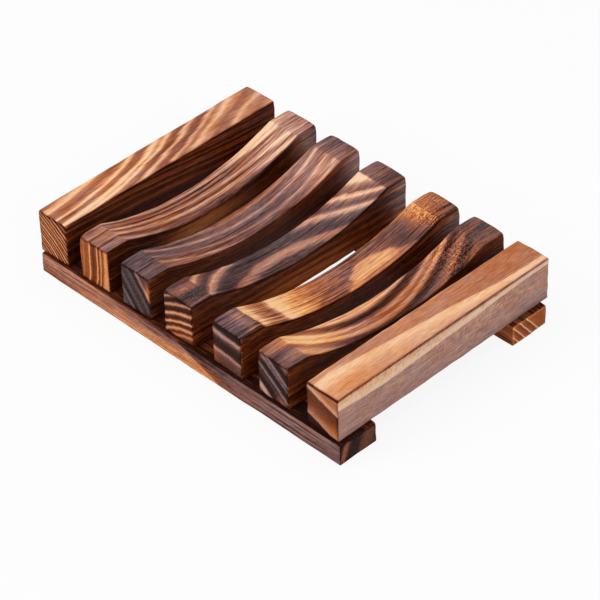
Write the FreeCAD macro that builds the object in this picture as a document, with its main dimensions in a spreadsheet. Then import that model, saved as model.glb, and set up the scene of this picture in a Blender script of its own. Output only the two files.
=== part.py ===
import FreeCAD
import Part
import Sketcher
import math
import os

# Slatted soap dish in scorched pine: seven slats lie across two rails and are pinned from below with brads.
# The five inner slats are scooped out alike, so that together they make one shallow bed for a bar of soap,
# and water runs off through the gaps between the slats and away between the rails.
# X runs along the rails, Y along the slats from the front end to the back, and Z is up.
# The origin is under the middle of the dish, on the surface that it stands on. Sizes are in millimetres.
SIZES = {
    "rail_length": 118,
    "rail_width": 13.7,
    "rail_height": 6.7,
    "rail_ease": 0.9,           # rounding of the rails' long edges
    "rail_end_ease": 0.5,       # bevel round the rails' ends
    "front_rail_reach": 1,      # how far the front rail stands out past the slats' front ends
    "back_rail_inset": 2.4,     # how far the back rail stays short of the slats' back ends
    "slat_length": 81.6,
    "slat_width": 11.6,
    "slat_height": 14,
    "slat_ease": 0.5,           # rounding of the slats' long edges
    "slat_end_ease": 0.4,       # bevel round the slats' ends
    "row_inset": 0.2,           # how far a row of slats that is centred on the rails stays inside their ends
    "row_offset": 1.4,          # how far the row really sits to the left of the rails' middle
    "scoop_chord": 66,          # length of the scoop where its arc meets the level of the slat's top
    "scoop_depth": 6.5,
    "scoop_lip": 4,             # radius that softens the turn from the flat land into the scoop
    "brad_length": 16,
    "brad_width": 1.25,
    "brad_thickness": 1,
    "brad_head_width": 2,
    "brad_head_height": 0.7,
    "brad_point": 1.5,          # length of the chisel point
    "brad_set": 0.4,            # how deep the head is punched below the underside of the rail
    "brad_clearance": 0.05,     # all round the brad, and past its point, in its hole
}

# The slats are set down by hand, so each one lies a little off the even spacing (shift, in millimetres)
# and a little out of square (skew, in degrees, positive where the back end leans to the left).
SLATS = {
    "left_side_slat": {"shift": 0, "skew": 0.6},
    "dished_slat_1": {"shift": -0.45, "skew": 0.6},
    "dished_slat_2": {"shift": -1, "skew": 0.1},
    "dished_slat_3": {"shift": -1, "skew": -0.8},
    "dished_slat_4": {"shift": 1.15, "skew": -2},
    "dished_slat_5": {"shift": 0.5, "skew": -1.3},
    "right_side_slat": {"shift": 0, "skew": 0.2},
}
for slat, place in SLATS.items():
    for name, value in place.items():
        SIZES[f"{slat}_{name}"] = value

doc = FreeCAD.newDocument("soap_dish")
sheet = doc.addObject("Spreadsheet::Sheet", "sizes")
for row, (name, value) in enumerate(SIZES.items(), start=1):
    sheet.set(f"A{row}", name)
    sheet.set(f"B{row}", str(value))
    sheet.setAlias(f"B{row}", name)
doc.recompute()

# Lines that the pieces are set out from. Along X, the rails and the row of slats lie half their offset to either
# side of the origin. Along Y, there are the middle of the slats and the middles of the two rails.
RAIL_LINE = "sizes.row_offset / 2"
SLAT_MIDDLE = "sizes.front_rail_reach / 2"
RAILS = {
    "front_rail": "(sizes.rail_width - sizes.slat_length - sizes.front_rail_reach) / 2",
    "back_rail": "(sizes.slat_length + sizes.front_rail_reach - sizes.rail_width) / 2 - sizes.back_rail_inset",
}
SCOOP_RADIUS = "((sizes.scoop_chord / 2)^2 + sizes.scoop_depth^2) / (2 * sizes.scoop_depth)"

UP = FreeCAD.Vector(0, 0, 1)
QUARTER_TURN = math.pi / 2

# A sketch numbers the points of a line or arc, and its own origin and axes, in this way.
START, END, CENTRE = range(1, 4)
ORIGIN_AND_X_AXIS, Y_AXIS = range(-1, -3, -1)


def slat_line(slat):
    """Formula for the X of a slat's middle: its place in the even row, the row's offset and its own shift."""
    gaps = len(SLATS) - 1
    pitch = f"(sizes.rail_length - sizes.slat_width - 2 * sizes.row_inset) / {gaps}"
    return f"{pitch} * ({list(SLATS).index(slat)} - {gaps} / 2) + sizes.{slat}_shift - {RAIL_LINE}"


def slat_run(rail):
    """Formula for the way along Y from the slats' middle to a rail's middle."""
    return f"({RAILS[rail]} - {SLAT_MIDDLE})"


def crossing(slat, rail):
    """Formula for the X at which the skewed centre line of a slat crosses the middle of a rail."""
    return f"{slat_line(slat)} - {slat_run(rail)} * tan(sizes.{slat}_skew * 1 deg)"


def bind(item, formulas):
    """Tie properties of a document object to the sheet, by one formula each."""
    for name, formula in formulas.items():
        item.setExpression(name, formula)


def new_sketch(body, name, role):
    """An empty sketch on one of the body's own origin planes."""
    sketch = body.newObject("Sketcher::SketchObject", name)
    plane = next(item for item in body.Origin.OriginFeatures if item.Role == role)
    sketch.AttachmentSupport = [(plane, "")]
    sketch.MapMode = "FlatFace"
    return sketch


def relate(sketch, *relations):
    """Add relations without a size to a sketch, such as coincident points or a level line."""
    for relation in relations:
        sketch.addConstraint(Sketcher.Constraint(*relation))


def dimension(sketch, name, formula, kind, *where):
    """Add a dimension to a sketch, with its value tied to the sheet."""
    value = float(sketch.evalExpression(formula))
    index = sketch.addConstraint(Sketcher.Constraint(kind, *where, value))
    sketch.renameConstraint(index, name)
    sketch.setExpression(f"Constraints.{name}", formula)


def draw_lines(sketch, points):
    """Draw a closed outline of straight lines through the points, and return the lines' numbers."""
    corners = [FreeCAD.Vector(x, y, 0) for x, y in points]
    next_corners = corners[1:] + corners[:1]
    lines = [sketch.addGeometry(Part.LineSegment(*ends)) for ends in zip(corners, next_corners)]
    for line, next_line in zip(lines, lines[1:] + lines[:1]):
        relate(sketch, ("Coincident", line, END, next_line, START))
    return lines


def draw_block(sketch, width, height):
    """Draw a rectangle that stands on the X axis, centred on the Y axis. The sizes are names in the sheet."""
    half, top = SIZES[width] / 2, SIZES[height]
    foot, side, head, other_side = draw_lines(sketch, [(-half, 0), (half, 0), (half, top), (-half, top)])
    relate(
        sketch,
        ("Symmetric", foot, START, foot, END, Y_AXIS),
        ("PointOnObject", foot, START, ORIGIN_AND_X_AXIS),
        ("Vertical", side),
        ("Horizontal", head),
        ("Vertical", other_side),
    )
    dimension(sketch, "width", f"sizes.{width}", "DistanceX", foot, START, foot, END)
    dimension(sketch, "height", f"sizes.{height}", "DistanceY", side, START, side, END)


def draw_dished_side(sketch):
    """Draw a dished slat from the side: a flat land at each end, and between them one arc with softened lips."""
    half, top = SIZES["slat_length"] / 2, SIZES["slat_height"]
    depth, lip = SIZES["scoop_depth"], SIZES["scoop_lip"]
    radius = float(sketch.evalExpression(SCOOP_RADIUS))
    land = math.sqrt((SIZES["scoop_chord"] / 2) ** 2 + 2 * lip * depth)
    turn = math.asin(land / (radius + lip))
    back_lip = Part.Circle(FreeCAD.Vector(land, top - lip, 0), UP, lip)
    front_lip = Part.Circle(FreeCAD.Vector(-land, top - lip, 0), UP, lip)
    scoop = Part.Circle(FreeCAD.Vector(0, top - depth + radius, 0), UP, radius)
    corners = [FreeCAD.Vector(y, z, 0) for y, z in [(-half, 0), (half, 0), (half, top), (-half, top)]]
    foot, back_end, back_land, back_turn, hollow, front_turn, front_land, front_end = sketch.addGeometry([
        Part.LineSegment(corners[0], corners[1]),
        Part.LineSegment(corners[1], corners[2]),
        Part.LineSegment(corners[2], FreeCAD.Vector(land, top, 0)),
        Part.ArcOfCircle(back_lip, QUARTER_TURN, QUARTER_TURN + turn),
        Part.ArcOfCircle(scoop, 3 * QUARTER_TURN - turn, 3 * QUARTER_TURN + turn),
        Part.ArcOfCircle(front_lip, QUARTER_TURN - turn, QUARTER_TURN),
        Part.LineSegment(FreeCAD.Vector(-land, top, 0), corners[3]),
        Part.LineSegment(corners[3], corners[0]),
    ])
    relate(
        sketch,
        ("Coincident", foot, END, back_end, START),
        ("Coincident", back_end, END, back_land, START),
        ("Tangent", back_land, END, back_turn, START),
        ("Tangent", back_turn, END, hollow, END),
        ("Tangent", hollow, START, front_turn, START),
        ("Tangent", front_turn, END, front_land, START),
        ("Coincident", front_land, END, front_end, START),
        ("Coincident", front_end, END, foot, START),
        ("Symmetric", foot, START, foot, END, Y_AXIS),
        ("PointOnObject", foot, START, ORIGIN_AND_X_AXIS),
        ("PointOnObject", hollow, CENTRE, Y_AXIS),
        ("Vertical", back_end),
        ("Vertical", front_end),
        ("Equal", back_end, front_end),
        ("Horizontal", back_land),
        ("Horizontal", front_land),
        ("Equal", back_turn, front_turn),
    )
    scoop_height = f"sizes.slat_height - sizes.scoop_depth + {SCOOP_RADIUS}"
    dimension(sketch, "length", "sizes.slat_length", "DistanceX", foot, START, foot, END)
    dimension(sketch, "height", "sizes.slat_height", "DistanceY", back_end, START, back_end, END)
    dimension(sketch, "lip", "sizes.scoop_lip", "Radius", back_turn)
    dimension(sketch, "scoop", SCOOP_RADIUS, "Radius", hollow)
    dimension(sketch, "scoop_height", scoop_height, "DistanceY", ORIGIN_AND_X_AXIS, START, hollow, CENTRE)


def extent(shape, axis):
    """How far a face or edge reaches along one axis."""
    return getattr(shape.BoundBox, f"{axis}Length")


def saw_and_sand(body, sketch, across, lengthwise, ease, end_ease):
    """Saw the outline out across X, round the edges that run lengthwise, and bevel the edges of the two ends."""
    flat = 1e-4
    sawn = body.newObject("PartDesign::Pad", f"{body.Name}_sawn")
    sawn.Profile = sketch
    sawn.Midplane = True
    bind(sawn, {"Length": f"sizes.{across}"})
    doc.recompute()
    edges = enumerate(sawn.Shape.Edges, start=1)
    long_edges = [f"Edge{number}" for number, edge in edges if extent(edge, lengthwise) > flat]
    sanded = body.newObject("PartDesign::Fillet", f"{body.Name}_sanded")
    sanded.Base = (sawn, long_edges)
    bind(sanded, {"Radius": f"sizes.{ease}"})
    doc.recompute()
    faces = enumerate(sanded.Shape.Faces, start=1)
    ends = [f"Face{number}" for number, face in faces if extent(face, lengthwise) < flat]
    trimmed = body.newObject("PartDesign::Chamfer", f"{body.Name}_trimmed")
    trimmed.Base = (sanded, ends)
    bind(trimmed, {"Size": f"sizes.{end_ease}"})
    doc.recompute()


def pierce(body, name, places, width):
    """Cut holes for the brads, or for their heads, up from the underside. Places are formulas for X and Y."""
    marks = new_sketch(body, f"{name}_marks", "XY_Plane")
    sides = {
        "width": f"sizes.{width} + 2 * sizes.brad_clearance",
        "thickness": "sizes.brad_thickness + 2 * sizes.brad_clearance",
    }
    for number, (x, y) in enumerate(places):
        left, low = f"{x} - ({sides['width']}) / 2", f"{y} - ({sides['thickness']}) / 2"
        corner = [float(marks.evalExpression(formula)) for formula in (left, low)]
        far = [start + float(marks.evalExpression(side)) for start, side in zip(corner, sides.values())]
        foot, side, head, other_side = draw_lines(
            marks, [(corner[0], corner[1]), (far[0], corner[1]), (far[0], far[1]), (corner[0], far[1])]
        )
        relate(
            marks, ("Horizontal", foot), ("Vertical", side), ("Horizontal", head), ("Vertical", other_side)
        )
        dimension(marks, f"width_{number}", sides["width"], "DistanceX", foot, START, foot, END)
        dimension(marks, f"thickness_{number}", sides["thickness"], "DistanceY", side, START, side, END)
        dimension(marks, f"left_{number}", left, "DistanceX", ORIGIN_AND_X_AXIS, START, foot, START)
        dimension(marks, f"low_{number}", low, "DistanceY", ORIGIN_AND_X_AXIS, START, foot, START)
    holes = body.newObject("PartDesign::Pocket", name)
    holes.Profile = marks
    holes.Reversed = True
    return holes


def make_rail(name):
    """A straight batten under all the slats. Each brad passes right through it, with its head in a recess."""
    rail = doc.addObject("PartDesign::Body", name)
    section = new_sketch(rail, f"{name}_section", "YZ_Plane")
    draw_block(section, "rail_width", "rail_height")
    saw_and_sand(rail, section, "rail_length", "X", "rail_ease", "rail_end_ease")
    places = [(f"{crossing(slat, name)} - {RAIL_LINE}", "0") for slat in SLATS]
    shank_holes = pierce(rail, f"{name}_shank_holes", places, "brad_width")
    shank_holes.Type = "ThroughAll"
    head_holes = pierce(rail, f"{name}_head_holes", places, "brad_head_width")
    bind(head_holes, {"Length": "sizes.brad_set + sizes.brad_head_height"})
    bind(rail, {"Placement.Base.x": RAIL_LINE, "Placement.Base.y": RAILS[name]})
    return rail


def make_slat(name):
    """A slat across both rails, dished or straight, with a blind brad hole over the middle of each rail."""
    slat = doc.addObject("PartDesign::Body", name)
    side = new_sketch(slat, f"{name}_side", "YZ_Plane")
    if name.startswith("dished"):
        draw_dished_side(side)
    else:
        draw_block(side, "slat_length", "slat_height")
    saw_and_sand(slat, side, "slat_width", "Y", "slat_ease", "slat_end_ease")
    places = [("0", f"{slat_run(rail)} / cos(sizes.{name}_skew * 1 deg)") for rail in RAILS]
    holes = pierce(slat, f"{name}_brad_holes", places, "brad_width")
    bind(holes, {"Length": "sizes.brad_set + sizes.brad_length + sizes.brad_clearance - sizes.rail_height"})
    bind(slat, {
        "Placement.Base.x": slat_line(name),
        "Placement.Base.y": SLAT_MIDDLE,
        "Placement.Base.z": "sizes.rail_height",
        "Placement.Rotation.Angle": f"sizes.{name}_skew * 1 deg",
    })
    return slat


def make_brad():
    """One brad, head down, cut from flat wire: a T head, a straight shank and a chisel point."""
    brad = doc.addObject("PartDesign::Body", "brad")
    profile = new_sketch(brad, "brad_profile", "XZ_Plane")
    head, shank = SIZES["brad_head_width"] / 2, SIZES["brad_width"] / 2
    neck, tip = SIZES["brad_head_height"], SIZES["brad_length"]
    taper = tip - SIZES["brad_point"]
    half = [(head, 0), (head, neck), (shank, neck), (shank, taper)]
    outline = half + [(0, tip)] + [(-x, z) for x, z in reversed(half)]
    rim, shoulder, side, bevel, other_bevel, other_side, other_shoulder, other_rim, face = draw_lines(profile, outline)
    relate(
        profile,
        ("Symmetric", face, START, face, END, Y_AXIS),
        ("PointOnObject", face, START, ORIGIN_AND_X_AXIS),
        ("Symmetric", side, START, other_side, END, Y_AXIS),
        ("PointOnObject", bevel, END, Y_AXIS),
        ("Horizontal", side, END, other_side, START),
        ("Vertical", rim),
        ("Vertical", side),
        ("Vertical", other_side),
        ("Vertical", other_rim),
        ("Horizontal", shoulder),
        ("Horizontal", other_shoulder),
    )
    dimension(profile, "head_width", "sizes.brad_head_width", "DistanceX", face, START, face, END)
    dimension(profile, "head_height", "sizes.brad_head_height", "DistanceY", rim, START, rim, END)
    dimension(profile, "width", "sizes.brad_width", "DistanceX", other_side, END, side, START)
    dimension(profile, "point", "sizes.brad_point", "DistanceY", bevel, START, bevel, END)
    dimension(profile, "length", "sizes.brad_length", "DistanceY", face, START, bevel, END)
    wire = brad.newObject("PartDesign::Pad", "brad_wire")
    wire.Profile = profile
    wire.Midplane = True
    bind(wire, {"Length": "sizes.brad_thickness"})
    return brad


def drive_brads(brad, rail):
    """A row of brads along the middle of a rail, one into each slat that crosses it."""
    row = []
    for slat in SLATS:
        driven = doc.addObject("App::Link", f"{rail}_brad_in_{slat}")
        driven.LinkedObject = brad
        bind(driven, {
            "Placement.Base.x": crossing(slat, rail),
            "Placement.Base.y": RAILS[rail],
            "Placement.Base.z": "sizes.brad_set",
        })
        row.append(driven)
    brads = doc.addObject("Part::Compound", f"{rail}_brads")
    brads.Links = row
    return brads


rails = [make_rail(name) for name in RAILS]
slats = [make_slat(name) for name in SLATS]
brad = make_brad()
brad_rows = [drive_brads(brad, name) for name in RAILS]
doc.recompute()

for item in doc.Objects:
    if {"Invalid", "Error"} & set(item.State):
        raise RuntimeError(f"{item.Label} could not be built")
pieces = rails + slats + brad_rows
for piece in pieces:
    if piece.Shape.isNull() or not piece.Shape.isValid():
        raise RuntimeError(f"{piece.Label} is not a sound solid")

os.makedirs("parts", exist_ok=True)
for piece in pieces:
    piece.Shape.exportStep(f"parts/{piece.Label}.step")
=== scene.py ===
"""Slatted soap dish of scorched pine: seven slats on two rails, held by brads driven from below.

Sizes are in millimetres in the dish's own frame, and become metres where a mesh is made.
"""

import math

import bpy
import numpy as np
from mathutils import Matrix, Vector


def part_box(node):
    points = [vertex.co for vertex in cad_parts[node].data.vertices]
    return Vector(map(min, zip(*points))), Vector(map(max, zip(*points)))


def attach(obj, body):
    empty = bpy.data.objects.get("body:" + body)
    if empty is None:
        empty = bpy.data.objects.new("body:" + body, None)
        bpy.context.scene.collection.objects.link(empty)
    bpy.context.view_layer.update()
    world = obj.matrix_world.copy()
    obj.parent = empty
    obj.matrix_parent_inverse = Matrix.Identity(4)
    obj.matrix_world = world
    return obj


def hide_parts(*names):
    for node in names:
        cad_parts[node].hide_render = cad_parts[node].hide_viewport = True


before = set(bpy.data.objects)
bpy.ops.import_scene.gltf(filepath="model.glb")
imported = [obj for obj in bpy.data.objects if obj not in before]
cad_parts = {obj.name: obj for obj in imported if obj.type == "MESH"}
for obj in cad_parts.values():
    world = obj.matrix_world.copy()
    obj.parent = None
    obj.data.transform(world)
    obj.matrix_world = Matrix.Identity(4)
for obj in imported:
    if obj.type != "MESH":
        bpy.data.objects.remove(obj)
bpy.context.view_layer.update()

# Rails. Two flat battens of pine lie crosswise under the ends of the slats and keep the dish off the wet
# shelf. Each is sawn to size, eased along its edges, scorched with a torch and brushed, which wears the
# burnt, soft bands of the growth rings a little lower. The slats are fixed to them by brads from below.


def spaced(low, high, step, fine, places):
    """Positions from low to high: the gap between them is fine at each of the places and grows with the
    distance from it, by a third of that distance, until it is step."""
    x = np.linspace(low, high, 6000)
    away = np.abs(x[:, None] - np.array(places)).min(axis=1)
    gap = np.minimum(fine + away / 3, step)
    count = np.concatenate([[0], np.cumsum(np.diff(x) / gap[1:])])
    return np.interp(np.linspace(0, count[-1], math.ceil(count[-1]) + 1), count, x)


def box_lattice(lines):
    """A closed box of quads: on each of the six faces the grid of two of the three lists of positions, at
    the first or the last position of the third. Faces share the points along their common edges."""
    size = [len(line) for line in lines]
    quads = []
    for axis in range(3):
        first, second = (axis + 1) % 3, (axis + 2) % 3
        i, j = np.meshgrid(np.arange(size[first] - 1), np.arange(size[second] - 1), indexing="ij")
        for level, corners in ((0, ((0, 0), (0, 1), (1, 1), (1, 0))),
                               (size[axis] - 1, ((0, 0), (1, 0), (1, 1), (0, 1)))):
            place = [None, None, None]
            quad = []
            for step_first, step_second in corners:
                place[axis] = np.full_like(i, level)
                place[first] = i + step_first
                place[second] = j + step_second
                quad.append(np.ravel_multi_index(place, size).ravel())
            quads.append(np.stack(quad, axis=1))
    used, faces = np.unique(np.concatenate(quads), return_inverse=True)
    place = np.unravel_index(used, size)
    points = np.stack([lines[axis][place[axis]] for axis in range(3)], axis=1)
    return points, faces.reshape(-1, 4)


def eased(points, half, radius):
    """The box with its edges rounded: each point goes to the nearest point of a box that is smaller by
    the radius all round, and from there one radius back the way it came. Also returns that way, which
    faces out."""
    core = np.clip(points, radius - half, half - radius)
    way = points - core
    way = way / np.linalg.norm(way, axis=1, keepdims=True)
    return core + way * radius, way


def ripple(points, waves, seed):
    """Smooth noise about zero: the sum of a dozen sines in random directions over the root of their
    number. The usual wavelengths along the three axes are given in mm."""
    sines = 12
    chance = np.random.default_rng(seed)
    turns = chance.normal(size=(3, sines)) / np.array(waves)[:, None]
    start = chance.uniform(0, 2 * math.pi, sines)
    return np.sin(2 * math.pi * (points @ turns) + start).sum(axis=1) / sines ** 0.5


MESH_STEP = 0.42
MESH_STEP_AT_EDGES = 0.12
EDGE_ROUND = 0.7
CORNER_REACH = 1.6
STIFF_TOP = 1


def stick(size, knock, seed, fine=((), ()), dip=None):
    """A sawn stick in its own frame, u across, v along, z up from its underside: a box with its edges
    rounded, unevenly as wear leaves them, and more by the knock at the four top corners. Where the top
    dips, the points keep their share of the height and the top edge keeps its shape. Also returns the
    points as they were before the dip, for grain that follows the top."""
    half = np.array(size) / 2
    lines = []
    for axis in range(3):
        extra = fine[axis] if axis < 2 else ()
        places = [-half[axis], half[axis], *extra]
        lines.append(spaced(-half[axis], half[axis], MESH_STEP, MESH_STEP_AT_EDGES, places))
    box, faces = box_lattice(lines)
    worn = EDGE_ROUND * np.clip(0.7 + 0.2 * ripple(box, (9, 14, 9), seed), 0.4, 1)
    from_faces = half - np.stack([np.abs(box[:, 0]), np.abs(box[:, 1]), box[:, 2]], axis=1)
    from_corner = np.linalg.norm(from_faces, axis=1)
    worn += knock * np.exp(-(from_corner / CORNER_REACH) ** 2)
    points, way = eased(box, half, worn[:, None])
    points[:, 2] += half[2]
    straight = points.copy()
    if dip is not None:
        share = np.clip(points[:, 2] / (size[2] - STIFF_TOP), 0, 1)
        points[:, 2] -= share * dip(points[:, 1])
    return points, faces, way, straight


SAWN_FACING = 0.72


def ring_place(points, way, tilt, bend, swirl, arch, hidden_end):
    """Where a point stands in the growth rings, in mm: a plane tilted across, along and up the stick,
    bent by the square of v, by u times v and by the cube of v, with a slow waver and an oval swirl
    (middle in u and v, reach in both, height). On the sawn ends the rings also arch, by the square of u,
    by u times the depth below the top and by the square of that depth. The end that the photograph hides,
    the last one for 1 and the first one for -1, repeats the rings of the other end."""
    u, v, z = points.T
    v = np.where(hidden_end * way[:, 1] > SAWN_FACING, -v, v)
    below = z.max() - z
    on_end = np.abs(way[:, 1]) > SAWN_FACING
    arched = (arch[0] * u ** 2 + arch[1] * u * below + arch[2] * below ** 2) * on_end
    waver = 0.12 * ripple(points, (14, 60, 14), 5) + 0.06 * ripple(points, (5, 30, 5), 6)
    plane = tilt[0] * u + tilt[1] * v + tilt[2] * z
    oval = np.exp(-((u - swirl[0]) / swirl[2]) ** 2 - ((v - swirl[1]) / swirl[3]) ** 2)
    return plane + bend[0] * v ** 2 + bend[1] * u * v + bend[2] * v ** 3 + waver + swirl[4] * oval + arched


def smooth_step(x, low, high):
    """0 below low, 1 above high, and an even S between them."""
    share = np.clip((x - low) / (high - low), 0, 1)
    return share * share * (3 - 2 * share)


ARRIS_REACH = 0.45
RIM_REACH = 0.6


def torch_and_painted_light_marks(points, straight, way, faces_of, arris, rim, marks):
    """Lift, soot, grey share and torn strokes at each point: what each face of the stick has, by how
    squarely the point faces that way, where the darker, sooted sides of the slats and the front rail's dark
    top are partly burnt wood and partly painted shade between and under the parts, and the grey share is
    partly ash and partly painted sheen; a lift at the top's left, right and front edges and another round
    the rims of the sawn ends, both fading within about half a millimetre; and soft oval marks on one face,
    each given as (face, place along its two axes, reach along both, changes), some of which are painted
    light on the slats' sides."""
    u, v, z = points.T
    facing = {"left": -way[:, 0], "right": way[:, 0], "front": -way[:, 1], "top": way[:, 2]}
    axes = {"right": (v, z), "front": (u, z), "top": (u, v)}
    scorch_and_painted_light = np.zeros((len(points), 4))
    for face, change in faces_of.items():
        scorch_and_painted_light[:, :3] += np.clip(facing[face], 0, 1)[:, None] ** 2 * np.array(change)
    below = straight[:, 2].max() - straight[:, 2]
    for inset, lift in zip((u - u.min(), u.max() - u, v - v.min()), arris):
        scorch_and_painted_light[:, 0] += lift * np.exp(-(np.hypot(inset, below) / ARRIS_REACH) ** 2)
    inset = np.minimum(np.minimum(u - u.min(), u.max() - u), np.minimum(z, z.max() - z))
    on_end = np.clip(2 * np.abs(way[:, 1]) - 0.6, 0, 1)
    scorch_and_painted_light[:, 0] += rim * np.exp(-(inset / RIM_REACH) ** 2) * on_end
    for face, first, second, first_reach, second_reach, *change in marks:
        off_first = (axes[face][0] - first) / first_reach
        off_second = (axes[face][1] - second) / second_reach
        oval = np.exp(-off_first ** 2 - off_second ** 2)
        scorch_and_painted_light[:, :len(change)] += (oval * np.clip(facing[face], 0, 1) ** 2)[:, None] * np.array(change)
    return scorch_and_painted_light


PIT_HALF_SIZE = (0.64, 1.14)
PIT_WALLS_AT = (0.6, 1.1)
PIT_WALL = 0.1
PIT_DEPTH = 0.42


def brad_pits(points, way, places):
    """How far a rail's underside is pressed in: by one depth in a rectangle of the brad head's size at
    each of the places along the rail's middle, with narrow sloping walls."""
    along = np.abs(points[:, 1, None] - np.array(places)).min(axis=1)
    inside = smooth_step(PIT_HALF_SIZE[1] - along, 0, PIT_WALL)
    inside *= smooth_step(PIT_HALF_SIZE[0] - np.abs(points[:, 0]), 0, PIT_WALL)
    return PIT_DEPTH * inside * (way[:, 2] < -0.9)


def add_node(tree, kind, sockets, **options):
    """Add a node with its options, and feed each named input a value or the output of another node."""
    node = tree.nodes.new(kind)
    for option, value in options.items():
        setattr(node, option, value)
    for socket, value in sockets.items():
        if isinstance(value, bpy.types.NodeSocket):
            tree.links.new(value, node.inputs[socket])
        else:
            node.inputs[socket].default_value = value
    return node


def add_ramp(tree, position, stops, easing):
    """A colour ramp through (position, colour) stops, with colours as red, green, blue from 0 to 1."""
    node = add_node(tree, "ShaderNodeValToRGB", {"Fac": position})
    node.color_ramp.interpolation = easing
    elements = node.color_ramp.elements
    while len(elements) < len(stops):
        elements.new(1)
    for element, (at, colour) in zip(elements, stops):
        element.position = at
        element.color = (*colour, 1)
    return node.outputs["Color"]


def calculate(tree, operation, first, second, third=0.0):
    """The output of a Math node on two or three values or sockets."""
    return add_node(tree, "ShaderNodeMath", {0: first, 1: second, 2: third}, operation=operation).outputs[0]


def vary(tree, value, noise, amount, middle=0.5):
    """The value plus the amount times how far the noise is above its middle."""
    return calculate(tree, "MULTIPLY_ADD", calculate(tree, "SUBTRACT", noise, middle), amount, value)


def fibres(tree, fibre_place, across, along, detail):
    """Noise drawn out along the stick: its usual size across and along the fibres is given in mm."""
    scale = (1 / across, 1 / along, 1 / across)
    mapped = add_node(tree, "ShaderNodeMapping", {"Vector": fibre_place, "Scale": scale}).outputs[0]
    noise = add_node(tree, "ShaderNodeTexNoise", {"Vector": mapped, "Scale": 1.0, "Detail": detail})
    return noise.outputs["Fac"]


def light_of(red, green, blue):
    """A colour as seen on a screen, 0 to 255, as the light it stands for."""
    seen = np.array([red, green, blue]) / 255
    return tuple(float(x) for x in np.where(seen < 0.04045, seen / 12.92, ((seen + 0.055) / 1.055) ** 2.4))


AMBER_WOOD = [(0.0, light_of(44, 12, 2)), (0.1, light_of(86, 32, 5)), (0.2, light_of(113, 51, 15)),
              (0.3, light_of(139, 67, 26)), (0.4, light_of(162, 84, 38)), (0.5, light_of(184, 102, 50)),
              (0.6, light_of(206, 122, 66)), (0.7, light_of(224, 143, 84)), (0.8, light_of(240, 165, 102)),
              (0.9, light_of(251, 183, 118)), (1.0, light_of(255, 204, 145))]
# The ashen ramp is the grey of the char, and on the long faces it also stands in for painted sheen: the
# white room reflected on the dark wood.
ASHEN_WOOD_AND_SHEEN = [(0.0, light_of(31, 17, 13)), (0.1, light_of(54, 39, 38)), (0.2, light_of(77, 63, 64)),
              (0.3, light_of(99, 79, 82)), (0.4, light_of(123, 97, 99)), (0.5, light_of(147, 116, 114)),
              (0.6, light_of(171, 136, 130)), (0.7, light_of(195, 156, 144)), (0.8, light_of(218, 178, 159)),
              (0.9, light_of(239, 199, 173)), (1.0, light_of(250, 216, 189))]
SOOT_AND_SHADE_TONE = 0.38


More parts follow.
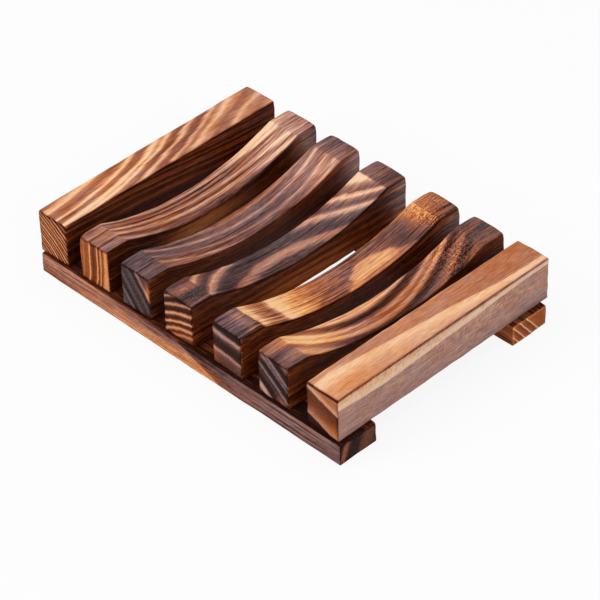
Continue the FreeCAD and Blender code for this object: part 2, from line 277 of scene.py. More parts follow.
def scorched_pine(name, rings, streak, gloss):
    """Torched and brushed pine. The growth rings give each place a tone, from charred 0 to pale 1, and a
    share of grey, from amber 0 to grey 1, which is partly the ash of the char and partly painted sheen, the
    white room reflected on it. The scorch adds to both, with painted shade and painted light on the slats'
    sides and painted shade on the front rail's top, and lays soot over the rings. Strands and fibres, as
    strong as the streak, mottling, and slanting strokes where the saw has torn the wood vary the tone, which
    then picks the colour between amber and ashen wood with its painted sheen. Fibres darker or paler than
    the wood round them are warmer."""
    material = bpy.data.materials.new(name)
    material.use_nodes = True
    tree = material.node_tree
    shader = tree.nodes["Principled BSDF"]
    shader.inputs["Specular IOR Level"].default_value = gloss
    fibre_place = add_node(tree, "ShaderNodeAttribute", {}, attribute_name="grain").outputs["Vector"]
    ring = add_node(tree, "ShaderNodeAttribute", {}, attribute_name="ring").outputs["Fac"]
    scorch_and_painted_light = add_node(tree, "ShaderNodeAttribute", {}, attribute_name="scorch_and_painted_light").outputs["Vector"]
    lift, soot_and_shade, ash_and_sheen = add_node(tree, "ShaderNodeSeparateXYZ", {"Vector": scorch_and_painted_light}).outputs
    torn = add_node(tree, "ShaderNodeAttribute", {}, attribute_name="torn").outputs["Fac"]
    slant = {"Vector": fibre_place, "Rotation": (0.8, 0, 0), "Scale": (0.4, 1.9, 0.32)}
    slanted = add_node(tree, "ShaderNodeMapping", slant, vector_type="TEXTURE").outputs[0]
    strokes = {"Vector": slanted, "Scale": 1.0, "Detail": 2.0}
    stroke = add_node(tree, "ShaderNodeTexNoise", strokes).outputs["Fac"]
    stroke = calculate(tree, "MULTIPLY", calculate(tree, "SUBTRACT", stroke, 0.5), torn)
    slow = fibres(tree, fibre_place, 2.2, 40, 2)
    strand = fibres(tree, fibre_place, 0.55, 38, 2)
    fine = fibres(tree, fibre_place, 0.3, 7, 3)
    hair = fibres(tree, fibre_place, 0.16, 2.6, 2)
    mottle = fibres(tree, fibre_place, 3.5, 9, 3)

    # The fibres fray the edges of the rings, whose place then gives tone and the share of grey, ash with
    # painted sheen.
    frayed = calculate(tree, "MULTIPLY_ADD", slow, 0.7, ring)
    frayed = calculate(tree, "MULTIPLY_ADD", fine, 0.4, frayed)
    frayed = calculate(tree, "MULTIPLY_ADD", strand, 1.2 * streak, frayed)
    frayed = calculate(tree, "SUBTRACT", frayed, 0.55 + 0.6 * streak)
    low, high = rings[0][0], rings[-1][0]
    reach = {"Value": frayed, "From Min": low, "From Max": high}
    position = add_node(tree, "ShaderNodeMapRange", reach).outputs[0]
    stops = [((place - low) / (high - low), (tone, ash_and_sheen_share, 0)) for place, tone, ash_and_sheen_share in rings]
    band = add_node(tree, "ShaderNodeSeparateColor", {0: add_ramp(tree, position, stops, "EASE")}).outputs

    # Soot and lift, which also carry painted shade on the slats' sides and painted light on some patches of
    # them, then strands with thin dark lines, fibres, hairs, mottling and torn strokes.
    sooted = add_node(tree, "ShaderNodeMix", {"Factor": soot_and_shade, "A": band[0], "B": SOOT_AND_SHADE_TONE}).outputs[0]
    plain = calculate(tree, "ADD", sooted, lift)
    tone = vary(tree, plain, strand, 1.1 * streak)
    tone = vary(tree, tone, fine, 0.32 + 0.4 * streak)
    thin = {"Value": strand, "From Min": 0.33, "From Max": 0.43, "To Min": -1.0, "To Max": 0.0}
    line = add_node(tree, "ShaderNodeMapRange", thin, interpolation_type="SMOOTHSTEP").outputs[0]
    tone = calculate(tree, "MULTIPLY_ADD", line, 0.4 * streak, tone)
    tone = vary(tree, tone, hair, 0.5 + 0.4 * streak)
    tone = vary(tree, tone, mottle, 0.16)
    tone = calculate(tree, "MULTIPLY_ADD", stroke, 1.6, tone)

    # The share of grey, ash and painted sheen, less on pale strokes and on fibres that stand out.
    greyed = calculate(tree, "ADD", band[1], ash_and_sheen)
    greyed = calculate(tree, "MULTIPLY_ADD", stroke, -1.5, greyed)
    spread = calculate(tree, "ABSOLUTE", calculate(tree, "SUBTRACT", tone, plain), 0.0)
    greyed = vary(tree, greyed, spread, -2.4, 0.06)
    greyed = vary(tree, greyed, mottle, 0.7)
    greyed = vary(tree, greyed, fine, -0.6, 0.52)
    amber = add_ramp(tree, tone, AMBER_WOOD, "LINEAR")
    ashen_and_sheen = add_ramp(tree, tone, ASHEN_WOOD_AND_SHEEN, "LINEAR")
    both = {"Factor": greyed, 6: amber, 7: ashen_and_sheen}
    colour = add_node(tree, "ShaderNodeMix", both, data_type="RGBA").outputs[2]
    tree.links.new(colour, shader.inputs["Base Color"])

    # Charred wood is matt and pale wood takes the wax; fibres and hairs stand a little proud.
    polish = add_node(tree, "ShaderNodeMapRange", {"Value": tone, "To Min": 0.6, "To Max": 0.42}).outputs[0]
    polish = vary(tree, polish, hair, 0.25)
    tree.links.new(polish, shader.inputs["Roughness"])
    height = calculate(tree, "MULTIPLY_ADD", fine, 0.7, calculate(tree, "MULTIPLY", hair, 0.3))
    bump = add_node(tree, "ShaderNodeBump", {"Height": height, "Strength": 0.5, "Distance": 0.0002})
    tree.links.new(bump.outputs[0], shader.inputs["Normal"])
    return material


def deepened(rings, middle, depth):
    """The rings with the difference of every tone from a middle one multiplied, as brushing and wax bring
    it out."""
    return [(place, middle + (tone - middle) * depth, ash_and_sheen) for place, tone, ash_and_sheen in rings]


BRUSHED_LEAST = 0.01
BRUSHED_MORE = 0.1


def wooden_piece(name, wood, shape, ring, fibre_place, scorch_and_painted_light, place, turn):
    """Make the object of a stick: brush its rings down along the way out, turn it about its upright axis,
    move it to its place, store ring, grain and the scorch, with its painted shade, light and sheen, for the
    material, and give its sawn ends the material of end grain."""
    points, faces, way = shape
    rings = wood["rings"]
    tone = np.interp(ring, [stop[0] for stop in rings], [stop[1] for stop in rings])
    brushed = (BRUSHED_LEAST + BRUSHED_MORE * (1 - tone)) * (1 - 0.8 * np.clip(-way[:, 2], 0, 1))
    points = points - way * brushed[:, None]
    cosine, sine = math.cos(math.radians(turn)), math.sin(math.radians(turn))
    spin = np.array([[cosine, sine, 0], [-sine, cosine, 0], [0, 0, 1]])
    mesh = bpy.data.meshes.new(name)
    mesh.from_pydata((points @ spin + np.array(place)) * 0.001, [], faces)
    mesh.attributes.new("ring", "FLOAT", "POINT").data.foreach_set("value", ring)
    mesh.attributes.new("grain", "FLOAT_VECTOR", "POINT").data.foreach_set("vector", fibre_place.ravel())
    mesh.attributes.new("scorch_and_painted_light", "FLOAT_VECTOR", "POINT").data.foreach_set("vector", scorch_and_painted_light[:, :3].ravel())
    mesh.attributes.new("torn", "FLOAT", "POINT").data.foreach_set("value", scorch_and_painted_light[:, 3])
    long_rings = deepened(rings, middle=0.5, depth=1.25)
    end_rings = deepened(wood["ends"], middle=0.38, depth=1.45)
    mesh.materials.append(scorched_pine(name + "_long_grain", long_rings, wood["streak"], gloss=0.07))
    mesh.materials.append(scorched_pine(name + "_end_grain", end_rings, streak=0.1, gloss=0.05))
    sawn = (np.abs(way[faces, 1]).mean(axis=1) > SAWN_FACING).astype(np.int32)
    mesh.polygons.foreach_set("material_index", sawn)
    mesh.shade_smooth()
    piece = bpy.data.objects.new(name, mesh)
    bpy.context.scene.collection.objects.link(piece)
    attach(piece, "root")
    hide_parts(name)
    piece.name = name + "_wood"


RAIL_CORNER_KNOCK = 0.3
RAIL_TURN = -90
RAIL_FIBRE_SHIFT = 211.0
NO_SWIRL = (0, 0, 1, 1, 0)
NO_ARCH = (0, 0, 0)
NO_ARRIS = (0, 0, 0)
# The rings, along the stick and on its ends, are (place, tone, share of grey, which is ash and on the long
# faces partly painted sheen). Changes are lift, soot, grey share and, on some marks, torn strokes. The front
# rail's darker top is partly painted shade under the slats. The brads are places along the rail.
RAILS = {
    "front_rail": dict(
        tilt=(2.5, 0.383, 1.0), bend=(0, 0, 0), streak=0.52, rim=-0.2,
        rings=[(-8, .52, .5), (4, .54, .5), (12, .56, .45), (18, .6, .35), (21, .64, .25), (22.3, .66, .22),
               (22.8, .4, .3), (25, .38, .6), (28, .42, .75), (35, .42, .82), (45, .38, .85)],
        ends=[(0, .26, .4), (10, .24, .4), (18, .29, .3), (22, .28, .3), (24, .22, .5), (26.5, .15, .9),
              (33.5, .13, .9), (35.5, .2, .4), (37, .34, .1), (40, .38, .35), (41.5, .25, .4),
              (43.5, .1, .6), (48, .06, .6)],
        # The dark, sooted top is partly burnt and partly painted shade under the slats: a painted shadow
        # line.
        faces_of={"top": (-.45, .4, -.2), "left": (-.1, .3, -.1)},
        marks=[("right", -12, 0, 22, 3, .14, 0, -.45), ("right", -6, 6.7, 20, 2.6, -.42, 0, .5),
               ("right", -52, 1, 14, 3.4, -.14, 0, -.12), ("right", 12, 4, 7, 2.6, -.06, 0, -.25),
               ("right", 0, 3, 70, 8, 0, 0, 0, .16), ("right", 38, 0, 30, 2.6, -.07, 0, -.1),
               ("right", 46, 6.7, 16, 2, .12, 0, -.03), ("right", -50, 6.7, 18, 2.4, .04, 0, .1)],
        brads=(-54.03, -36.82, -20.01, -2.89, 16.2, 33.64, 51.72)),
    "back_rail": dict(
        tilt=(-1.27, 0.05, 1.0), bend=(0, 0, 0), streak=0.35, rim=0.25,
        rings=[(-12, .4, .3), (-6, .5, .3), (-4.4, .34, .3), (-2.6, .55, .3), (-1, .34, .3), (.8, .55, .3),
               (2.6, .32, .3), (4.3, .55, .3), (6, .32, .3), (7.8, .5, .3), (12, .4, .3)],
        ends=[(-12, .4, 0), (-9, .42, 0), (-6.9, .36, 0), (-6.3, .74, .25), (-5.7, .4, 0), (-3.2, .34, 0),
              (-2.6, .76, .25), (-2, .42, 0), (.2, .32, 0), (.8, .78, .25), (1.4, .42, 0), (3.7, .32, 0),
              (4.3, .78, .25), (4.9, .4, 0), (7.2, .32, 0), (7.8, .78, .25), (8.4, .42, 0), (12, .4, 0)],
        faces_of={"top": (-.2, .4, -.1), "left": (-.1, .3, 0), "right": (.02, .1, -.3)}, marks=[],
        brads=(-54.73, -37.51, -20.12, -1.96, 18.52, 35.15, 51.49)),
}
for seed, (name, wood) in enumerate(RAILS.items(), 1):
    low, high = (np.array(corner) * 1000 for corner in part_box(name))
    middle = (low + high) / 2
    size = (high[1] - low[1], high[0] - low[0], high[2] - low[2])
    pit_ends = [place + side * PIT_WALLS_AT[1] for place in wood["brads"] for side in (-1, 1)]
    pit_sides = (-PIT_WALLS_AT[0], PIT_WALLS_AT[0])
    points, faces, way, straight = stick(size, RAIL_CORNER_KNOCK, seed, (pit_sides, pit_ends))
    points[:, 2] += brad_pits(points, way, wood["brads"])
    scorch_and_painted_light = torch_and_painted_light_marks(points, straight, way, wood["faces_of"], NO_ARRIS, wood["rim"], wood["marks"])
    ring = ring_place(points, way, wood["tilt"], wood["bend"], NO_SWIRL, NO_ARCH, hidden_end=-1)
    wooden_piece(name, wood, (points, faces, way), ring, straight + RAIL_FIBRE_SHIFT * seed, scorch_and_painted_light,
                 (middle[0], middle[1], low[2]), RAIL_TURN)

# Slats. Seven sticks of the same pine lie across the rails, about 6 mm apart so that water runs through.
# The outer two are left straight; the inner five have one long scoop sawn into their tops, which leaves a
# flat land at either end. They were laid by hand, so each sits a little off line and askew.
SLAT_PITCH = 17.667
ROW_MIDDLE = (-0.7, 0.5)
MIDDLE_SLAT = 3
SLAT_SIZE = (11.6, 81.6, 14.0)
SLAT_FOOT = 6.7
SCOOP_CHORD = 66.0
SCOOP_DEPTH = 6.5
SCOOP_LIP = 0.33
LAND_EDGE = (SCOOP_CHORD / 2 - 0.3, SCOOP_CHORD / 2 + 0.4)
DISHED_CORNER_KNOCK = 0.5
STRAIGHT_CORNER_KNOCK = 0.15
SLAT_END_RIM = -0.2
BOW_HALF_LENGTH_SQUARED = 1700
FIRST_SLAT_SEED = 11
SLAT_FIBRE_SHIFT = 137.0


def scoop(v):
    """Depth of the scoop along a slat: a circular arc through the two ends of the chord, rounded into the
    flat lands by a smooth maximum of the arc's depth and zero."""
    radius = (SCOOP_CHORD ** 2 / 4 + SCOOP_DEPTH ** 2) / (2 * SCOOP_DEPTH)
    arc = SCOOP_DEPTH - radius + np.sqrt(radius ** 2 - v ** 2)
    share = np.clip(0.5 + 0.5 * arc / SCOOP_LIP, 0, 1)
    return arc * share + SCOOP_LIP * share * (1 - share)


# Shift is in mm and skew in degrees. The arris lifts the tone at the top's left, right and front edges,
# and each land has changes of its own. A bow is how far the slat's foot stands out to the right in the
# middle.
# On each slat the darker, sooted sides that face the narrow gaps are partly burnt wood and partly painted
# shade between the slats.
SLATS = [
    dict(
        name="left_side_slat", shift=0.0, skew=0.6, arch=(0, 0.03, 0), tilt=(0.404, 0.1494, 1.0),
        bend=(0.0002, -0.0048, -0.00002), slot="amber_scorched_pine", streak=0.12,
        rings=[(8, .55, .4), (10.3, .36, .3), (11.8, .55, .4), (12.7, .42, .35), (13.5, .5, .4),
               (15, .86, .3), (15.7, .52, .3), (16.3, .44, .28), (16.8, .54, .3), (17.4, .9, .38),
               (18, .5, .4), (18.5, .48, .4), (19.2, 1, .42), (19.7, .7, .5), (20.1, .92, .4),
               (20.6, .52, .42), (21, .42, .4), (21.6, .85, .48), (22.2, .48, .4), (22.6, .46, .4),
               (23, .8, .42), (23.4, .6, .42), (23.9, .86, .42), (24.3, .68, .42), (24.7, .52, .42),
               (25.1, .56, .45), (25.5, .8, .45), (25.9, .62, .45), (26.3, .56, .45), (26.7, .78, .45)],
        ends=[(-.6, .5, .4), (.2, .16, .1), (1, .62, .28), (1.8, .18, .05), (2.6, .56, .2), (3.3, .2, .05),
              (4, .72, .3), (4.9, .2, 0), (5.6, .54, .15), (6.4, .2, .05), (7.1, .6, .2), (7.9, .2, .05),
              (8.8, .7, .28), (9.4, .2, .05), (10, .52, .15), (10.6, .16, 0), (11.2, .66, .28),
              (12, .2, .1), (12.7, .6, .28), (13.5, .18, .1), (14.2, .62, .3), (15, .16, .1),
              (15.8, .6, .3), (16.7, .1, .05), (17.6, .46, .28), (18.6, .12, .1)],
        # Its right side is darkened: partly burnt, partly painted shade in the gap.
        faces_of={"front": (0, 0, -.1), "right": (-.36, .55, -.35)}, arris=(0, -.4, -.2),
        marks=[("top", 0, 10, 9, 22, -.1, 0, -.14), ("top", 5, -30, 1.5, 14, .1, 0, 0),
               ("top", 2.6, -36, .25, 3, -.4, 0, 0), ("top", 0, -20, 9, 16, .06, 0, -.08)]),
    dict(
        name="dished_slat_1", shift=-0.45, skew=0.6, arch=(0, 0, 0.0115), tilt=(1.28, -0.0353, 0.067),
        bend=(-0.0008, -0.004, -0.00004), slot="dark_scorched_pine", streak=0.5,
        rings=[(-7.8, .9, .6), (-6.8, .8, .6), (-5.8, .5, .6), (-5, .66, .72), (-4.4, .6, .72),
               (-3.4, .24, .5), (-2.2, .46, .7), (-1.4, .32, .55), (-.6, .44, .55), (.6, .72, .65),
               (1, .6, .62), (2, .3, .5), (3.8, .66, .62), (4.4, .62, .62), (5.6, .34, .6), (7, .3, .65),
               (9, .6, .76), (10.2, .3, .55)],
        ends=[(-4.6, .44, 0), (-3.6, .54, .04), (-2.7, .4, 0), (-1.6, .48, 0), (-.8, .36, 0), (.8, .4, 0),
              (1.7, .68, .1), (2.5, .32, 0), (3.7, .24, 0), (5.2, .3, 0), (6.1, .66, .08), (7, .26, 0),
              (8.2, .6, .06), (9.2, .32, 0), (10.6, .64, .06), (12.1, .66, .1)],
        # Both sides are darkened: partly burnt, partly painted shade in the gaps.
        faces_of={"front": (0, 0, -.12), "left": (-.25, .3, -.3), "right": (-.25, .55, -.5)},
        arris=(0, -.2, -.15), front_land=(.07, .75, .1), back_land=(.03, .75, .04),
        marks=[("top", 0, 29, 9, 11, .31, 0, .14), ("top", 0, -31, 9, 3, .12, 0, 0),
               ("top", -4.6, 26, 2, 10, .25, 0, -.15), ("top", 0, -20, 9, 14, -.03, 0, -.25),
               # The second mark below, low on the right side, is painted light: an amber patch where light
               # comes through the gap.
               ("top", 0, 5, 9, 12, 0, 0, -.1), ("right", -4, 3, 20, 3.6, .36, -.55, -.9),
               # The mark below is painted light with painted sheen: it lifts and greys the shaded right side
               # near its back end.
               ("right", 39, 8, 6, 9, .36, -.3, .95)]),
    dict(
        name="dished_slat_2", shift=-1.0, skew=0.1, tilt=(1.225, -0.0458, 1.0),
        bend=(-0.0021, -0.0037, 0.00002), slot="dark_scorched_pine", streak=0.3,
        rings=[(7.9, .36, .6), (8.6, .42, .65), (9, .5, .75), (9.8, .42, .75), (10.6, .33, .78),
               (12, .3, .8), (12.6, .42, .77), (13.2, .6, .85), (13.7, .5, .8), (14.3, .36, .75),
               (15.4, .34, .84), (16.4, .32, .83), (17.1, .38, .78), (17.8, .56, .76), (18.4, .42, .72),
               (19.2, .35, .66), (20.2, .36, .62), (20.8, .42, .65), (21.4, .6, .66), (21.9, .56, .64),
               (22.6, .43, .55), (24, .38, .55), (25.5, .4, .7)],
        ends=[(-3, .4, 1), (-1, .3, 1), (.5, .24, 1), (2.3, .39, 1), (3.2, .27, 1), (4.5, .11, 1),
              (5.6, .2, 1), (7.5, .31, 1), (8.6, .27, 1), (10, .2, 1), (12, .24, .9), (13.4, .31, .9),
              (14.6, .2, .8), (15.7, .12, .7), (16.6, .2, .72), (17.4, .4, .8), (18, .5, .8),
              (18.7, .4, .74), (19.8, .23, .7), (21, .26, .74), (24, .22, .85)],
        # Both sides are darkened: partly burnt, partly painted shade in the gaps.
        faces_of={"left": (-.25, .3, -.5), "right": (-.22, .75, -.5)}, arris=(0, -.2, -.15),
        front_land=(-.09, .8, .25), back_land=(-.1, .6, .05),
        marks=[("top", 0, 28, 9, 9, .28, 0, -.05), ("top", 0, 0, 9, 20, .03, 0, 0),
               ("top", -4.8, 5, 1.2, 18, .04, 0, -.4), ("top", 4, -24, 3, 10, .08, 0, -.15),
               # The first mark below is painted light with painted sheen: it lifts and greys the shaded
               # right side near its back end.
               ("right", 39, 8, 6, 9, .5, -.3, .8), ("front", 5.6, 9.5, 1.4, 3, .45, 0, -1)]),
    dict(
        name="dished_slat_3", shift=-1.0, skew=-0.8, arch=(0.016, 0, 0), bow=1.15,
        tilt=(-0.41, 0.0459, 1.0), bend=(0.00028, -0.0011, 0.0), slot="dark_scorched_pine", streak=0.25,
        rings=[(4, .3, .6), (6.6, .5, .5), (7.6, .24, .5), (8.6, .58, .5), (9.9, .2, .5), (11.2, .58, .55),
               (12.2, .22, .8), (12.9, .26, .82), (13.4, .44, .63), (14, .54, .55), (14.5, .5, .58),
               (14.9, .27, .75), (15.4, .23, .95), (16.3, .25, 1), (16.8, .32, .9), (17.3, .56, .65),
               (17.8, .68, .6), (18.2, .42, .62), (18.6, .27, .8), (19, .28, .85), (19.5, .38, .6),
               (20.2, .72, .5), (20.6, .6, .55), (21, .3, .62), (21.4, .33, .62), (22, .46, .67),
               (23.3, .88, .65), (24, .85, .7)],
        ends=[(4.6, .22, .1), (5.6, .28, .15), (6.6, .55, .35), (7.6, .23, .08), (8.7, .66, .35),
              (9.9, .19, .02), (10.4, .22, .05), (11.2, .68, .4), (12.2, .19, .05), (13, .2, .05),
              (14.2, .67, .5), (15.3, .14, .1), (16.2, .17, .2), (17.3, .6, .6), (18.4, .1, .3),
              (19, .19, .4), (20, .59, .6), (20.6, .26, .5), (21, .32, .6)],
        # Both sides are darkened: partly burnt, partly painted shade in the gaps.
        faces_of={"front": (-.02, 0, -.06), "left": (-.25, .3, -.5), "right": (-.22, .7, -.55)},
        arris=(0, -.4, -.25), front_land=(-.12, .7, .14), back_land=(-.18, .7, .05),
        marks=[("top", 0, -25, 9, 9, .01, 0, -.1), ("top", -1.6, -37, 1.2, 4, .14, 0, -.2, .3),
               ("top", 2.5, -36, 4, 3.5, 0, 0, 0, .45), ("top", 0, 2, 8, 14, .09, 0, 0),
               # The second mark below is painted light with painted sheen: it lifts and greys the shaded
               # right side near its back end.
               ("top", 0, 27, 9, 9, .16, 0, 0), ("right", 39, 8, 6, 9, .4, -.3, .8),
               # The mark below is painted light: an amber lift low on the right side where light from the
               # floor reaches it.
               ("right", -4, 1, 26, 4, .28, -.5, -.2)]),
    dict(
        name="dished_slat_4", shift=1.15, skew=-2.0, swirl=(-1.5, -0.5, 5.5, 6.0, 0.7),
        tilt=(-0.068, -0.11, 1.0), bend=(0.00029, -0.0034, -0.00001), slot="dark_scorched_pine", streak=0.6,
        rings=[(12.4, .36, .7), (12.8, .5, .4), (13.3, .6, .25), (13.7, .7, .2), (14, .68, .2),
               (14.2, .38, .6), (14.8, .4, .5), (15.6, .46, .36), (16.3, .54, .15), (17, .65, .08),
               (18, .76, .03), (18.7, .88, .08), (19.4, 1, .22), (19.8, .95, .4), (20.2, .62, .44),
               (20.7, .48, .36), (21.4, .49, .36), (22.2, .58, .3), (22.8, .68, .33), (23.4, .85, .34),
               (23.9, .95, .27), (24.3, .85, .2), (24.7, .4, .6)],
        ends=[(12.6, .26, .4), (15, .27, .5), (16, .31, .55), (17.2, .52, .65), (17.6, .44, .6),
              (18.2, .17, .5), (19.4, .13, .65), (20.6, .16, .75), (21.5, .19, .6), (22.2, .32, .6),
              (23.2, .56, .8), (23.8, .54, .85), (24.3, .27, .7), (24.8, .11, .68), (26, .08, .7)],
        # Both sides are darkened: partly burnt, partly painted shade in the gaps.
        faces_of={"left": (-.25, .3, -.4), "right": (-.25, .85, -.5)}, arris=(0, -.4, -.25),
        front_land=(-.01, .6, .3), back_land=(0, .65, .2),
        marks=[("top", 0, -35, 8, 1.6, .15, 0, -.2), ("top", 0, -39.5, 8, 3, -.1, 0, .15),
               ("top", 0, 24, 9, 5, -.18, .4, .3), ("top", 0, -15, 9, 8, .05, 0, -.1),
               ("top", 0, 31, 9, 2.5, .0, 0, -.1, .9), ("top", 0, 37, 9, 6, 0, 0, 0, .6),
               # The second mark below is painted light with painted sheen: it lifts and greys the shaded
               # right side near its back end.
               ("top", -3, -4, 4, 9, .05, 0, -.05), ("right", 39, 8, 6, 9, .35, -.3, .8),
               ("front", -5.4, 3, 1.8, 4, .16, 0, -.5)]),
    dict(
        name="dished_slat_5", shift=0.5, skew=-1.3, tilt=(0.85, 0.0707, 1.0), bend=(0.00072, 0.0017, 0.0),
        slot="dark_scorched_pine", streak=0.25,
        rings=[(1, .4, .5), (9.8, .8, .3), (10.3, .66, .3), (10.8, .84, .35), (11.4, .68, .42),
               (11.8, .4, .45), (12.3, .2, .5), (13.2, .23, .6), (13.8, .33, .5), (14.3, .6, .45),
               (14.7, .7, .4), (15.3, .58, .33), (15.9, .5, .28), (16.6, .7, .3), (17.1, .66, .4),
               (17.5, .52, .45), (18, .27, .4), (18.8, .24, .7), (19.5, .29, .75), (20.2, .42, .7),
               (20.8, .46, .6), (21.6, .52, .45), (22.2, .5, .5), (22.8, .3, .7), (24, .26, .85),
               (25.2, .33, .7), (26, .42, .55), (27.5, .42, .55)],
        ends=[(1.8, .3, .4), (3.2, .64, .7), (4.3, .62, .95), (5, .4, .8), (5.7, .1, .7), (7.5, .13, .75),
              (9.3, .25, .85), (10.1, .21, .85), (11.2, .46, .9), (12, .24, .82), (12.8, .07, .78),
              (14, .13, .8), (15.2, .37, .9), (16, .31, .88), (17, .47, .92), (17.8, .2, .8),
              (18.8, .08, .65), (20, .14, .7), (21.2, .33, .66), (22.2, .48, .7)],
        # Both sides are darkened: partly burnt, partly painted shade in the gaps.
        faces_of={"left": (-.25, .3, -.4), "right": (-.2, .7, -.65)}, arris=(0, -.2, -.15),
        front_land=(-.15, .5, .2), back_land=(-.04, .4, .1),
        marks=[("top", -1, -28, 9, 10, .38, 0, -.45), ("top", 1, 2, 7, 14, -.1, 0, -.12),
               ("top", 0, 26, 9, 8, -.06, 0, -.1, 1), ("front", 2.6, 1, 2.2, 1.3, .25, 0, -.7),
               ("front", -4, 12.5, 1.6, 1, .2, 0, -.5)]),
    dict(
        name="right_side_slat", shift=0.0, skew=0.2, tilt=(0.605, -0.0855, 1.0),
        bend=(-0.00044, 0.0055, 0.00002), slot="amber_scorched_pine", streak=0.05,
        rings=[(7, .4, .5), (12, .56, .3), (15, .57, .26), (18, .57, .3), (20.3, .56, .34),
               (20.55, .6, .36), (20.8, .82, .4), (21.5, .86, .38), (22, .82, .38), (22.8, .75, .36),
               (23.8, .72, .33), (24.8, .7, .32), (26, .66, .36)],
        ends=[(6.9, .14, .5), (8.9, .14, .47), (9.6, .2, .5), (9.9, .52, .5), (10.4, .54, .5),
              (11.3, .48, .3), (12.3, .38, .1), (14.1, .3, .1), (16.1, .25, .05), (18.1, .24, .15),
              (18.4, .4, .3), (18.9, .66, .4), (19.6, .6, .3), (20.7, .48, .15), (22.1, .48, .2),
              (23, .5, .3), (23.4, .4, .4)],
        # Its left side is darkened: partly burnt, partly painted shade in the gap. The grey on its outer
        # right side is partly painted sheen.
        faces_of={"left": (-.3, .75, -.4), "right": (.02, .0, .43)}, arris=(.2, -.65, -.7),
        marks=[("top", -5, -37, 2.5, 9, .08, 0, 0), ("top", -4, -8, 4, 16, .06, 0, 0),
               ("top", -3, 32, 6, 14, -.05, 0, -.12), ("top", 2.5, -32, 4.5, 10, -.06, 0, -.25),
               ("top", 1, -20, 4, 14, -.04, 0, .05), ("right", -26, 14, 22, 3.5, .1, 0, -.32, .9),
               ("right", 14, 11, 26, 5, .05, 0, -.04, .62), ("right", 0, 3, 60, 6, 0, 0, .12, .22),
               ("front", 4, 3, 2.5, 2.5, .08, 0, -.3)]),
]
for row, wood in enumerate(SLATS):
    seed = FIRST_SLAT_SEED + row
    dished = "front_land" in wood
    kinks = (-SCOOP_CHORD / 2, SCOOP_CHORD / 2) if dished else ()
    knock = DISHED_CORNER_KNOCK if dished else STRAIGHT_CORNER_KNOCK
    points, faces, way, straight = stick(SLAT_SIZE, knock, seed, ((), kinks), scoop if dished else None)
    scorch_and_painted_light = torch_and_painted_light_marks(points, straight, way, wood["faces_of"], wood["arris"], SLAT_END_RIM,
                         wood["marks"])
    bowed = (1 - points[:, 1] ** 2 / BOW_HALF_LENGTH_SQUARED) * (1 - straight[:, 2] / SLAT_SIZE[2]) ** 2
    points[:, 0] += wood.get("bow", 0) * bowed
    if dished:
        up = np.clip(way[:, 2], 0, 1) ** 2
        for side, land in ((-1, wood["front_land"]), (1, wood["back_land"])):
            on_land = smooth_step(side * points[:, 1], *LAND_EDGE) * up
            scorch_and_painted_light[:, :3] += on_land[:, None] * np.array(land)
    stood = points + np.array([0, 0, SLAT_FOOT])
    ring = ring_place(stood, way, wood["tilt"], wood["bend"], wood.get("swirl", NO_SWIRL),
                      wood.get("arch", NO_ARCH), hidden_end=1)
    across = ROW_MIDDLE[0] + SLAT_PITCH * (row - MIDDLE_SLAT) + wood["shift"]
    wooden_piece(wood["name"], wood, (points, faces, way), ring, straight + SLAT_FIBRE_SHIFT * seed, scorch_and_painted_light,
                 (across, ROW_MIDDLE[1], SLAT_FOOT), wood["skew"])

# Brads. Seven flat-wire brads in each rail are driven up through it into the slats and set just under its
# surface. They are bright drawn steel, dulled by handling, with square-cut T heads; the solids keep their
# own shape.
DRAWN_MARKS = (9000, 9000, 700)
brad_steel = bpy.data.materials.new("brad_steel")
brad_steel.use_nodes = True
steel_tree = brad_steel.node_tree
steel = steel_tree.nodes["Principled BSDF"]
steel.inputs["Metallic"].default_value = 1.0
steel_place = add_node(steel_tree, "ShaderNodeTexCoord", {}).outputs["Object"]
drawn = add_node(steel_tree, "ShaderNodeMapping", {"Vector": steel_place, "Scale": DRAWN_MARKS}).outputs[0]
scratches = {"Vector": drawn, "Scale": 1.0, "Detail": 3.0}
drawn = add_node(steel_tree, "ShaderNodeTexNoise", scratches).outputs["Fac"]
steel_tones = [(0.3, light_of(120, 116, 112)), (0.7, light_of(190, 188, 186))]
steel_tree.links.new(add_ramp(steel_tree, drawn, steel_tones, "LINEAR"), steel.inputs["Base Color"])
dulling = {"Value": drawn, "To Min": 0.25, "To Max": 0.55}
dulled = add_node(steel_tree, "ShaderNodeMapRange", dulling).outputs[0]
steel_tree.links.new(dulled, steel.inputs["Roughness"])
for name in ("front_rail_brads", "back_rail_brads"):
    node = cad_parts[name]
    node.data.materials.clear()
    node.data.materials.append(brad_steel)

# Studio. The dish stands on a plain white sweep in soft light: a wide lamp overhead, a key from the front
# left and a weaker one from the right. The camera looks from the front right and above, with a long lens.
floor_mesh = bpy.data.meshes.new("floor")
floor_mesh.from_pydata([(-4, -4, 0), (4, -4, 0), (4, 4, 0), (-4, 4, 0)], [], [(0, 1, 2, 3)])
floor = bpy.data.objects.new("floor", floor_mesh)
bpy.context.scene.collection.objects.link(floor)
sweep = bpy.data.materials.new("white_sweep")
sweep.use_nodes = True
sweep_tree = sweep.node_tree
sweep_tree.nodes.remove(sweep_tree.nodes["Principled BSDF"])
seen_by = add_node(sweep_tree, "ShaderNodeLightPath", {})
seen = calculate(sweep_tree, "MAXIMUM", seen_by.outputs["Is Camera Ray"], seen_by.outputs["Is Glossy Ray"])
seen = calculate(sweep_tree, "MAXIMUM", seen, seen_by.outputs["Is Transmission Ray"])
seen = calculate(sweep_tree, "MULTIPLY", seen, 0.9)
matt = add_node(sweep_tree, "ShaderNodeBsdfDiffuse", {"Color": (0.86, 0.86, 0.86, 1)}).outputs[0]
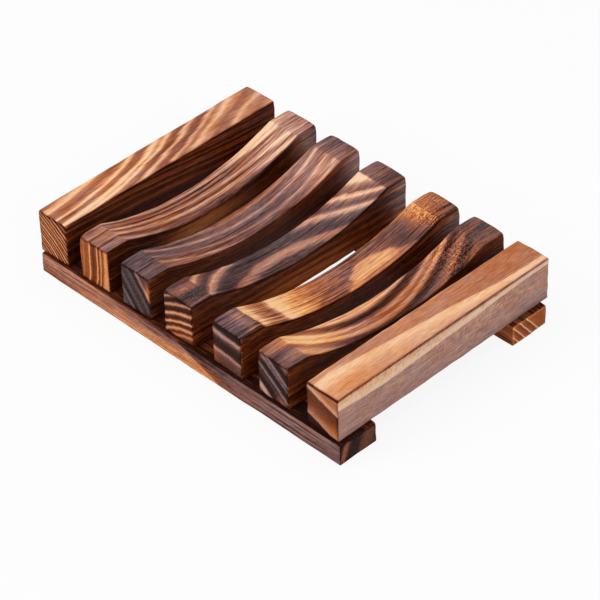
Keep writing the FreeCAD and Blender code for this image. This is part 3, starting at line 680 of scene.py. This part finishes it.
glow = add_node(sweep_tree, "ShaderNodeEmission", {"Color": (1, 1, 1, 1), "Strength": 1.0}).outputs[0]
mixed = add_node(sweep_tree, "ShaderNodeMixShader", {0: seen, 1: matt, 2: glow}).outputs[0]
sweep_tree.links.new(mixed, sweep_tree.nodes["Material Output"].inputs["Surface"])
floor_mesh.materials.append(sweep)

world = bpy.data.worlds.new("white_room")
bpy.context.scene.world = world
world.use_nodes = True
room_tree = world.node_tree
room = room_tree.nodes["Background"]
room.inputs["Color"].default_value = (1, 1, 1, 1)
room_path = add_node(room_tree, "ShaderNodeLightPath", {})
room_seen = calculate(room_tree, "MAXIMUM", room_path.outputs["Is Camera Ray"],
                      room_path.outputs["Is Transmission Ray"])
room_range = {"Value": room_seen, "To Min": 0.3, "To Max": 1.0}
room_light = add_node(room_tree, "ShaderNodeMapRange", room_range).outputs[0]
room_tree.links.new(room_light, room.inputs["Strength"])


def soft_lamp(name, power, size, location):
    """A square area lamp of that power in watts and side in metres, turned towards the dish."""
    lamp = bpy.data.objects.new(name, bpy.data.lights.new(name, "AREA"))
    lamp.data.energy = power
    lamp.data.size = size
    lamp.location = location
    lamp.rotation_euler = (-lamp.location).to_track_quat("-Z", "Y").to_euler()
    bpy.context.scene.collection.objects.link(lamp)


soft_lamp("overhead", 4.0, 0.9, (0.0, 0.1, 0.9))
soft_lamp("key_front_left", 4.6, 0.5, (-0.45, -0.75, 0.65))
soft_lamp("fill_right", 1.8, 0.6, (0.9, -0.1, 0.45))

CAMERA_PLACE = (0.470107, -0.443131, 0.524748)
CAMERA_DEGREES = (50.77374, 1.44879, 45.3245)
CAMERA_LENS = 179.652
camera = bpy.data.objects.new("camera", bpy.data.cameras.new("camera"))
camera.data.lens = CAMERA_LENS
camera.data.sensor_width = 36.0
camera.data.clip_start = 0.05
camera.location = CAMERA_PLACE
camera.rotation_euler = [math.radians(angle) for angle in CAMERA_DEGREES]
bpy.context.scene.collection.objects.link(camera)
bpy.context.scene.camera = camera
bpy.context.scene.view_settings.view_transform = "Standard"
